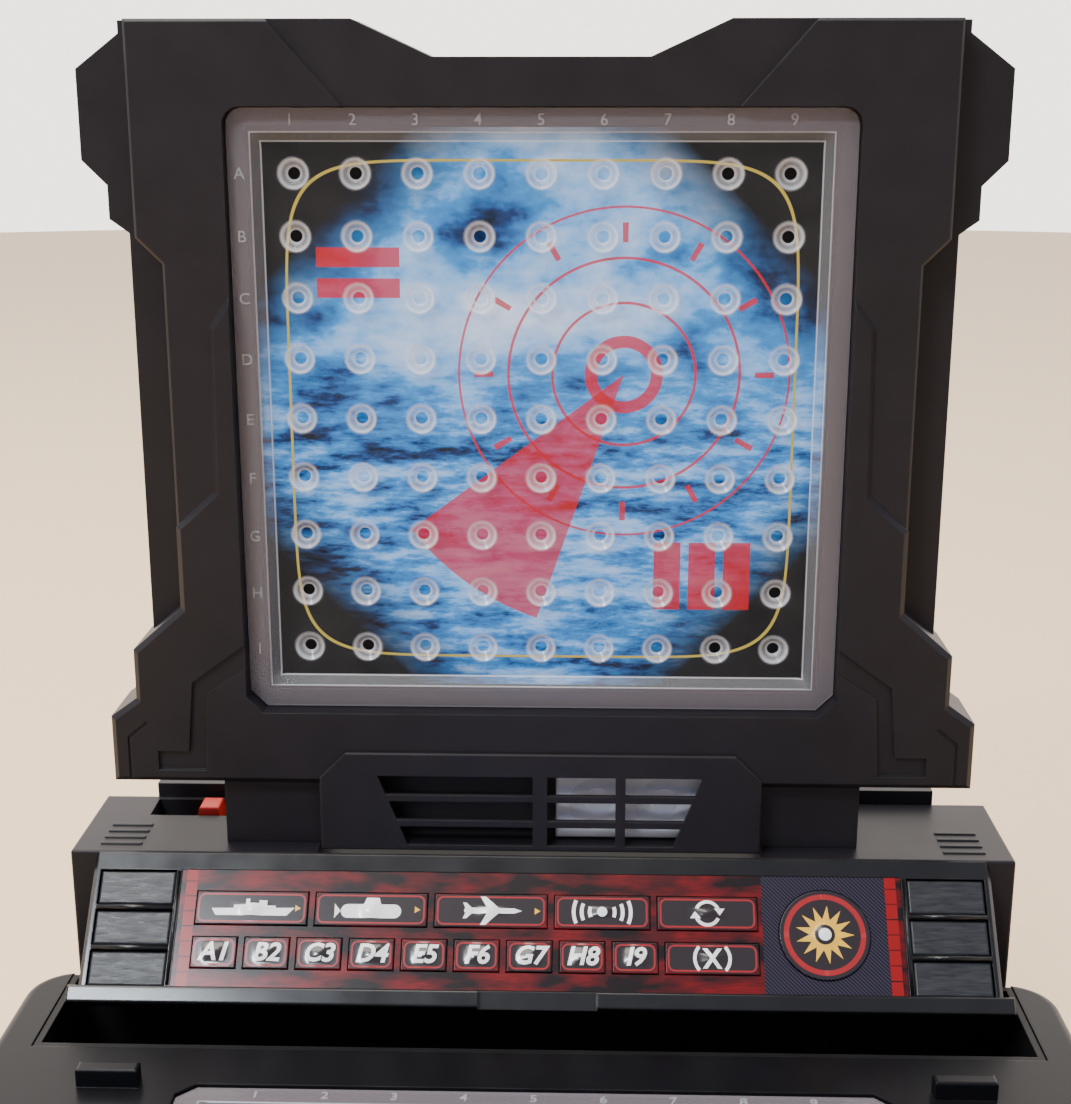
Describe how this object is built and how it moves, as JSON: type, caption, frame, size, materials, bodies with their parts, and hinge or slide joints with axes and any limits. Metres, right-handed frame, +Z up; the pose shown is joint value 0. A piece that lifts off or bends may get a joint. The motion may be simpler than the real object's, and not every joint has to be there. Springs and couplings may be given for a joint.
{
  "type": "fleet guessing game case",
  "caption": "Tabletop sea-battle game console: upright peg screen hinged behind a sloped keypad, with a peg trough and a clear peg grid on its base deck.",
  "frame": {"origin": "on the table under the middle of the case's box", "axes": "+X to the player's right, +Y away from the player towards the screen, +Z up"},
  "size_m": [0.312, 0.3264, 0.331],
  "materials": {
    "black_plastic": "fine satin moulded texture, black",
    "trough_black": "plain moulded black",
    "bezel_gloss": "glossy black with a soft reflection",
    "pad_gloss": "glossy black",
    "grille_black": "satin black",
    "clear_plastic": "clear moulded plastic",
    "printed_card": "printed water pattern in blues with red line work",
    "keypad_print": "dark red print under a clear film",
    "key_print": "dark red key face with a light symbol",
    "red_plastic": "red moulded plastic",
    "steel": "plain zinc steel",
    "circuit_board": "green solder mask",
    "grey_plastic": "grey moulded plastic",
    "cell_jacket": "printed foil jacket",
    "rubber": "black rubber"
  },
  "bodies": {
    "base": {"base_tray": "black_plastic", "base_deck": "black_plastic", "peg_trough": "trough_black", "rubber_feet": "rubber", "base_screws": "steel", "ocean_grid": "clear_plastic", "ocean_card": "printed_card", "console_housing": "black_plastic", "console_rear_cover": "black_plastic", "battery_bay": "black_plastic", "batteries": "cell_jacket", "battery_contacts": "steel", "main_board": "circuit_board", "main_board_screws": "steel", "power_switch_body": "grey_plastic", "control_bezel": "bezel_gloss", "left_grip_pads": "pad_gloss", "right_grip_pads": "pad_gloss", "keypad_label": "keypad_print", "keypad_board": "circuit_board", "keypad_domes": "steel", "keypad_screws": "steel", "left_hinge_post": "black_plastic", "right_hinge_post": "black_plastic", "left_hinge_pin": "steel", "right_hinge_pin": "steel"},
    "screen": {"screen_front_frame": "black_plastic", "screen_back_shell": "black_plastic", "screen_screws": "steel", "target_grid": "clear_plastic", "target_card": "printed_card", "speaker_grille": "grille_black", "speaker": "grey_plastic"},
    "battery_door": {"battery_door": "black_plastic"},
    "power_lever": {"power_lever": "red_plastic"},
    "key_fire": {"key_fire": "key_print"},
    "key_ship": {"key_ship": "key_print"},
    "key_submarine": {"key_submarine": "key_print"},
    "key_plane": {"key_plane": "key_print"},
    "key_sonar": {"key_sonar": "key_print"},
    "key_repeat": {"key_repeat": "key_print"},
    "key_a1": {"key_a1": "key_print"},
    "key_b2": {"key_b2": "key_print"},
    "key_c3": {"key_c3": "key_print"},
    "key_d4": {"key_d4": "key_print"},
    "key_e5": {"key_e5": "key_print"},
    "key_f6": {"key_f6": "key_print"},
    "key_g7": {"key_g7": "key_print"},
    "key_h8": {"key_h8": "key_print"},
    "key_i9": {"key_i9": "key_print"},
    "key_cancel": {"key_cancel": "key_print"}
  },
  "joints": [
    {"name": "screen_fold", "type": "hinge", "parent": "base", "child": "screen", "pos_m": [0, 0.12782, 0.1], "axis": [1, 0, 0], "range_deg": [0, 90]},
    {"name": "battery_door_swing", "type": "hinge", "parent": "base", "child": "battery_door", "pos_m": [0, 0.16117, 0.0338], "axis": [-1, 0, 0], "range_deg": [0, 90]},
    {"name": "power_lever_slide", "type": "slide", "parent": "base", "child": "power_lever", "axis": [1, 0, 0], "range_m": [-0.006, 0]},
    {"name": "key_fire_press", "type": "slide", "parent": "base", "child": "key_fire", "axis": [0, 0.7431, -0.6691], "range_m": [0, 0.0007], "stiffness_N_per_m": 1500},
    {"name": "key_ship_press", "type": "slide", "parent": "base", "child": "key_ship", "axis": [0, 0.7431, -0.6691], "range_m": [0, 0.0007], "stiffness_N_per_m": 1500},
    {"name": "key_submarine_press", "type": "slide", "parent": "base", "child": "key_submarine", "axis": [0, 0.7431, -0.6691], "range_m": [0, 0.0007], "stiffness_N_per_m": 1500},
    {"name": "key_plane_press", "type": "slide", "parent": "base", "child": "key_plane", "axis": [0, 0.7431, -0.6691], "range_m": [0, 0.0007], "stiffness_N_per_m": 1500},
    {"name": "key_sonar_press", "type": "slide", "parent": "base", "child": "key_sonar", "axis": [0, 0.7431, -0.6691], "range_m": [0, 0.0007], "stiffness_N_per_m": 1500},
    {"name": "key_repeat_press", "type": "slide", "parent": "base", "child": "key_repeat", "axis": [0, 0.7431, -0.6691], "range_m": [0, 0.0007], "stiffness_N_per_m": 1500},
    {"name": "key_a1_press", "type": "slide", "parent": "base", "child": "key_a1", "axis": [0, 0.7431, -0.6691], "range_m": [0, 0.0007], "stiffness_N_per_m": 1500},
    {"name": "key_b2_press", "type": "slide", "parent": "base", "child": "key_b2", "axis": [0, 0.7431, -0.6691], "range_m": [0, 0.0007], "stiffness_N_per_m": 1500},
    {"name": "key_c3_press", "type": "slide", "parent": "base", "child": "key_c3", "axis": [0, 0.7431, -0.6691], "range_m": [0, 0.0007], "stiffness_N_per_m": 1500},
    {"name": "key_d4_press", "type": "slide", "parent": "base", "child": "key_d4", "axis": [0, 0.7431, -0.6691], "range_m": [0, 0.0007], "stiffness_N_per_m": 1500},
    {"name": "key_e5_press", "type": "slide", "parent": "base", "child": "key_e5", "axis": [0, 0.7431, -0.6691], "range_m": [0, 0.0007], "stiffness_N_per_m": 1500},
    {"name": "key_f6_press", "type": "slide", "parent": "base", "child": "key_f6", "axis": [0, 0.7431, -0.6691], "range_m": [0, 0.0007], "stiffness_N_per_m": 1500},
    {"name": "key_g7_press", "type": "slide", "parent": "base", "child": "key_g7", "axis": [0, 0.7431, -0.6691], "range_m": [0, 0.0007], "stiffness_N_per_m": 1500},
    {"name": "key_h8_press", "type": "slide", "parent": "base", "child": "key_h8", "axis": [0, 0.7431, -0.6691], "range_m": [0, 0.0007], "stiffness_N_per_m": 1500},
    {"name": "key_i9_press", "type": "slide", "parent": "base", "child": "key_i9", "axis": [0, 0.7431, -0.6691], "range_m": [0, 0.0007], "stiffness_N_per_m": 1500},
    {"name": "key_cancel_press", "type": "slide", "parent": "base", "child": "key_cancel", "axis": [0, 0.7431, -0.6691], "range_m": [0, 0.0007], "stiffness_N_per_m": 1500}
  ]
}
